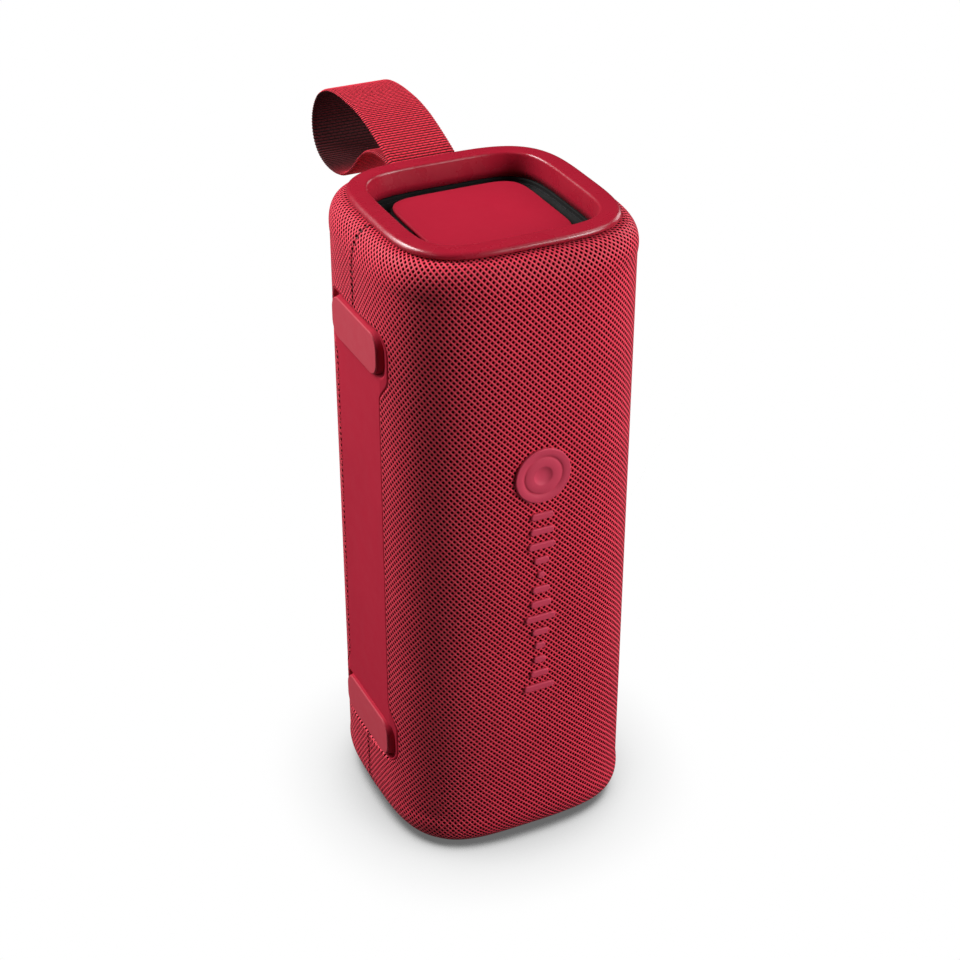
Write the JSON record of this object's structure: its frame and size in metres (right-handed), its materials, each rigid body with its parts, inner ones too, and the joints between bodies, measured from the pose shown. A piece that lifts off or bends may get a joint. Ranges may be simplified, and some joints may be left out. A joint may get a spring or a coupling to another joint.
{
  "type": "portable party speaker",
  "caption": "Portable speaker: a squared fabric barrel with a radiator under a ring at each end, a foot strip along one side, a key panel opposite and a carry strap at the top.",
  "frame": {"origin": "centre of the lower ring's flat end, which it stands on", "axes": "+Z is the body's long axis towards the upper ring, -Y is the front with the badge, -X the foot strip, +X the key panel, +Y the strap and the port"},
  "size_m": [0.0937, 0.1705, 0.2423],
  "materials": {
    "knit_red": "knitted mesh, matte with a soft sheen",
    "soft_red": "soft-touch satin",
    "radiator_red": "soft-touch satin",
    "pad_red": "matte rubber",
    "key_red": "matte rubber",
    "webbing_red": "ribbed webbing",
    "black_rubber": "matte",
    "black_plastic": "fine texture",
    "steel": "plated",
    "iron": "blackened",
    "cone_black": "pulp with a fine grain",
    "copper": "lacquered wire",
    "spider_cloth": "impregnated cloth",
    "board_green": "solder mask",
    "chip_black": "moulded",
    "cell_wrap": "shrink film",
    "lens_white": "diffusing",
    "wire_red": "insulation",
    "wire_grey": "insulation"
  },
  "bodies": {
    "root": {"fabric_sleeve": "knit_red", "grille_core": "black_plastic", "cabinet_shell": "black_plastic", "upper_end_frame": "black_plastic", "lower_end_frame": "black_plastic", "upper_end_ring": "soft_red", "lower_end_ring": "soft_red", "upper_radiator_surround": "black_rubber", "lower_radiator_surround": "black_rubber", "end_frame_screws": "steel", "front_baffle": "black_plastic", "baffle_gasket": "black_rubber", "baffle_screws": "steel", "upper_driver_basket": "iron", "lower_driver_basket": "iron", "upper_driver_magnet": "iron", "lower_driver_magnet": "iron", "upper_driver_surround": "black_rubber", "lower_driver_surround": "black_rubber", "upper_driver_spider": "spider_cloth", "lower_driver_spider": "spider_cloth", "driver_screws": "steel", "foot_strip": "soft_red", "upper_foot_pad": "pad_red", "lower_foot_pad": "pad_red", "badge_disc": "soft_red", "badge_bars": "soft_red", "key_panel": "soft_red", "status_lights": "lens_white", "key_board": "board_green", "key_switches": "steel", "port_frame": "soft_red", "usb_socket": "steel", "main_board": "board_green", "board_parts": "chip_black", "battery_cells": "cell_wrap", "battery_tray": "black_plastic", "battery_band": "black_rubber", "battery_lead": "wire_red", "driver_leads": "wire_grey", "strap_tail": "webbing_red", "strap_pin": "steel"},
    "upper_radiator": {"upper_radiator_plate": "radiator_red", "upper_radiator_weight": "steel"},
    "lower_radiator": {"lower_radiator_plate": "radiator_red", "lower_radiator_weight": "steel"},
    "upper_cone": {"upper_driver_cone": "cone_black", "upper_voice_coil": "copper"},
    "lower_cone": {"lower_driver_cone": "cone_black", "lower_voice_coil": "copper"},
    "power_key": {"power_key": "key_red"},
    "pairing_key": {"pairing_key": "key_red"},
    "volume_down_key": {"volume_down_key": "key_red"},
    "play_key": {"play_key": "key_red"},
    "volume_up_key": {"volume_up_key": "key_red"},
    "cover": {"port_cover": "key_red"},
    "strap": {"strap_loop": "webbing_red"}
  },
  "joints": [
    {"name": "upper_radiator_slide", "type": "slide", "parent": "root", "child": "upper_radiator", "axis": [0, 0, 1], "range_m": [-0.003, 0.003], "stiffness_N_per_m": 1500, "springref_m": 0.0004, "deforming": ["upper_radiator_surround"]},
    {"name": "lower_radiator_slide", "type": "slide", "parent": "root", "child": "lower_radiator", "axis": [0, 0, 1], "range_m": [-0.003, 0.003], "stiffness_N_per_m": 1500, "springref_m": 0.0004, "deforming": ["lower_radiator_surround"]},
    {"name": "upper_cone_slide", "type": "slide", "parent": "root", "child": "upper_cone", "axis": [0, -1, 0], "range_m": [-0.002, 0.002], "stiffness_N_per_m": 1200, "deforming": ["upper_driver_surround", "upper_driver_spider"]},
    {"name": "lower_cone_slide", "type": "slide", "parent": "root", "child": "lower_cone", "axis": [0, -1, 0], "range_m": [-0.002, 0.002], "stiffness_N_per_m": 1200, "deforming": ["lower_driver_surround", "lower_driver_spider"]},
    {"name": "power_key_press", "type": "slide", "parent": "root", "child": "power_key", "axis": [-1, 0, 0], "range_m": [0, 0.0008], "stiffness_N_per_m": 900, "springref_m": -0.0006},
    {"name": "pairing_key_press", "type": "slide", "parent": "root", "child": "pairing_key", "axis": [-1, 0, 0], "range_m": [0, 0.0008], "stiffness_N_per_m": 900, "springref_m": -0.0006},
    {"name": "volume_down_key_press", "type": "slide", "parent": "root", "child": "volume_down_key", "axis": [-1, 0, 0], "range_m": [0, 0.0008], "stiffness_N_per_m": 900, "springref_m": -0.0006},
    {"name": "play_key_press", "type": "slide", "parent": "root", "child": "play_key", "axis": [-1, 0, 0], "range_m": [0, 0.0008], "stiffness_N_per_m": 900, "springref_m": -0.0006},
    {"name": "volume_up_key_press", "type": "slide", "parent": "root", "child": "volume_up_key", "axis": [-1, 0, 0], "range_m": [0, 0.0008], "stiffness_N_per_m": 900, "springref_m": -0.0006},
    {"name": "port_cover_hinge", "type": "hinge", "parent": "root", "child": "cover", "pos_m": [0, 0.0453, 0.0483], "axis": [-1, 0, 0], "range_deg": [0, 110]},
    {"name": "strap_swing", "type": "hinge", "parent": "root", "child": "strap", "pos_m": [0, 0.0463, 0.2311], "axis": [1, 0, 0], "range_deg": [-60, 75], "stiffness_Nm_per_rad": 0.03, "springref_deg": 5.16}
  ]
}
